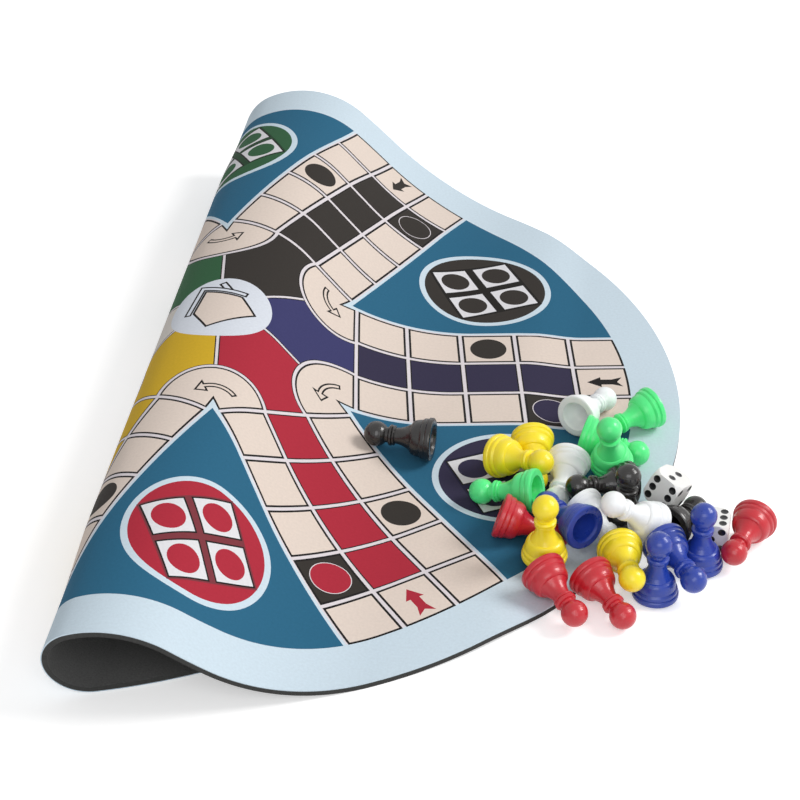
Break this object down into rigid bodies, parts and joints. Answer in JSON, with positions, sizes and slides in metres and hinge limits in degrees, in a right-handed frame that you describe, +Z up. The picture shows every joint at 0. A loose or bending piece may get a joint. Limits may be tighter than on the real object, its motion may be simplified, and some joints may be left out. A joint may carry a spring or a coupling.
{
  "type": "six-player ludo mat set",
  "caption": "Round rubber-backed cloth ludo mat for six players, folded nearly in half into a soft roll, with a heap of hollow plastic pawns and dice at its edge.",
  "frame": {"origin": "on the table, under the middle of the folded mat", "axes": "+Z up from the table; +Y away from the viewer of the picture, along the mat's fold but for 7 degrees; +X to the viewer's right"},
  "size_m": [0.2663, 0.3993, 0.0458],
  "materials": {
    "rubber": "matte dark grey foam rubber with a fine waffle texture",
    "printed_cloth": "smooth woven polyester with a dye-printed board",
    "white_plastic": "glossy moulded",
    "green_plastic": "glossy moulded",
    "yellow_plastic": "glossy moulded",
    "red_plastic": "glossy moulded",
    "blue_plastic": "glossy moulded",
    "black_plastic": "glossy moulded",
    "die_plastic": "glossy white with black sunk pips"
  },
  "bodies": {
    "mat": {"mat_rubber_base": "rubber", "mat_printed_cloth": "printed_cloth"},
    "pawn_white_1": {"pawn_white_1": "white_plastic"},
    "pawn_white_2": {"pawn_white_2": "white_plastic"},
    "pawn_white_3": {"pawn_white_3": "white_plastic"},
    "pawn_white_4": {"pawn_white_4": "white_plastic"},
    "pawn_green_1": {"pawn_green_1": "green_plastic"},
    "pawn_green_2": {"pawn_green_2": "green_plastic"},
    "pawn_green_3": {"pawn_green_3": "green_plastic"},
    "pawn_green_4": {"pawn_green_4": "green_plastic"},
    "pawn_yellow_1": {"pawn_yellow_1": "yellow_plastic"},
    "pawn_yellow_2": {"pawn_yellow_2": "yellow_plastic"},
    "pawn_yellow_3": {"pawn_yellow_3": "yellow_plastic"},
    "pawn_yellow_4": {"pawn_yellow_4": "yellow_plastic"},
    "pawn_red_1": {"pawn_red_1": "red_plastic"},
    "pawn_red_2": {"pawn_red_2": "red_plastic"},
    "pawn_red_3": {"pawn_red_3": "red_plastic"},
    "pawn_red_4": {"pawn_red_4": "red_plastic"},
    "pawn_blue_1": {"pawn_blue_1": "blue_plastic"},
    "pawn_blue_2": {"pawn_blue_2": "blue_plastic"},
    "pawn_blue_3": {"pawn_blue_3": "blue_plastic"},
    "pawn_blue_4": {"pawn_blue_4": "blue_plastic"},
    "pawn_black_1": {"pawn_black_1": "black_plastic"},
    "pawn_black_2": {"pawn_black_2": "black_plastic"},
    "pawn_black_3": {"pawn_black_3": "black_plastic"},
    "pawn_black_4": {"pawn_black_4": "black_plastic"},
    "die_1": {"die_1": "die_plastic"},
    "die_2": {"die_2": "die_plastic"}
  },
  "joints": [
    {"name": "pawn_white_1_lift", "type": "slide", "parent": "mat", "child": "pawn_white_1", "axis": [0, 0, 1], "range_m": [0, 0.06]},
    {"name": "pawn_white_2_lift", "type": "slide", "parent": "mat", "child": "pawn_white_2", "axis": [-0.4472, 0, 0.8944], "range_m": [0, 0.06]},
    {"name": "pawn_white_3_lift", "type": "slide", "parent": "pawn_black_4", "child": "pawn_white_3", "axis": [0, 0, 1], "range_m": [0, 0.06]},
    {"name": "pawn_white_4_lift", "type": "slide", "parent": "pawn_white_3", "child": "pawn_white_4", "axis": [0, 0, 1], "range_m": [0, 0.06]},
    {"name": "pawn_green_1_lift", "type": "slide", "parent": "pawn_white_2", "child": "pawn_green_1", "axis": [-0.4472, 0, 0.8944], "range_m": [0, 0.06]},
    {"name": "pawn_green_2_lift", "type": "slide", "parent": "pawn_black_2", "child": "pawn_green_2", "axis": [0, 0, 1], "range_m": [0, 0.06]},
    {"name": "pawn_green_3_lift", "type": "slide", "parent": "mat", "child": "pawn_green_3", "axis": [0, 0, 1], "range_m": [0, 0.06]},
    {"name": "pawn_green_4_lift", "type": "slide", "parent": "mat", "child": "pawn_green_4", "axis": [0.4472, 0, 0.8944], "range_m": [0, 0.05]},
    {"name": "pawn_yellow_1_lift", "type": "slide", "parent": "pawn_white_2", "child": "pawn_yellow_1", "axis": [0, 0.995, 0.0995], "range_m": [0, 0.06]},
    {"name": "pawn_yellow_2_lift", "type": "slide", "parent": "pawn_green_1", "child": "pawn_yellow_2", "axis": [0, 0, 1], "range_m": [0, 0.06]},
    {"name": "pawn_yellow_3_lift", "type": "slide", "parent": "pawn_red_1", "child": "pawn_yellow_3", "axis": [-0.4472, 0, 0.8944], "range_m": [0, 0.06]},
    {"name": "pawn_yellow_4_lift", "type": "slide", "parent": "pawn_white_3", "child": "pawn_yellow_4", "axis": [-0.3482, -0.3482, 0.8704], "range_m": [0, 0.06]},
    {"name": "pawn_red_1_lift", "type": "slide", "parent": "mat", "child": "pawn_red_1", "axis": [-0.8944, 0, 0.4472], "range_m": [0, 0.06]},
    {"name": "pawn_red_2_lift", "type": "slide", "parent": "mat", "child": "pawn_red_2", "axis": [0, 0, 1], "range_m": [0, 0.06]},
    {"name": "pawn_red_3_lift", "type": "slide", "parent": "mat", "child": "pawn_red_3", "axis": [0, 0, 1], "range_m": [0, 0.06]},
    {"name": "pawn_red_4_lift", "type": "slide", "parent": "pawn_blue_2", "child": "pawn_red_4", "axis": [0, 0, 1], "range_m": [0, 0.06]},
    {"name": "pawn_blue_1_lift", "type": "slide", "parent": "mat", "child": "pawn_blue_1", "axis": [0, 0.4472, 0.8944], "range_m": [0, 0.04]},
    {"name": "pawn_blue_2_lift", "type": "slide", "parent": "pawn_blue_3", "child": "pawn_blue_2", "axis": [0.3482, -0.3482, 0.8704], "range_m": [0, 0.06]},
    {"name": "pawn_blue_3_lift", "type": "slide", "parent": "pawn_blue_4", "child": "pawn_blue_3", "axis": [0.3482, -0.3482, 0.8704], "range_m": [0, 0.06]},
    {"name": "pawn_blue_4_lift", "type": "slide", "parent": "mat", "child": "pawn_blue_4", "axis": [0.3482, -0.3482, 0.8704], "range_m": [0, 0.06]},
    {"name": "pawn_black_1_lift", "type": "slide", "parent": "mat", "child": "pawn_black_1", "axis": [0, 0, 1], "range_m": [0, 0.06]},
    {"name": "pawn_black_2_lift", "type": "slide", "parent": "pawn_black_4", "child": "pawn_black_2", "axis": [0, 0, 1], "range_m": [0, 0.06]},
    {"name": "pawn_black_3_lift", "type": "slide", "parent": "mat", "child": "pawn_black_3", "axis": [0, 0.4472, 0.8944], "range_m": [0, 0.05]},
    {"name": "pawn_black_4_lift", "type": "slide", "parent": "mat", "child": "pawn_black_4", "axis": [0, 0, 1], "range_m": [0, 0.06]},
    {"name": "die_1_lift", "type": "slide", "parent": "pawn_black_3", "child": "die_1", "axis": [0, 0, 1], "range_m": [0, 0.06]},
    {"name": "die_2_lift", "type": "slide", "parent": "mat", "child": "die_2", "axis": [0, 0, 1], "range_m": [0, 0.06]}
  ]
}
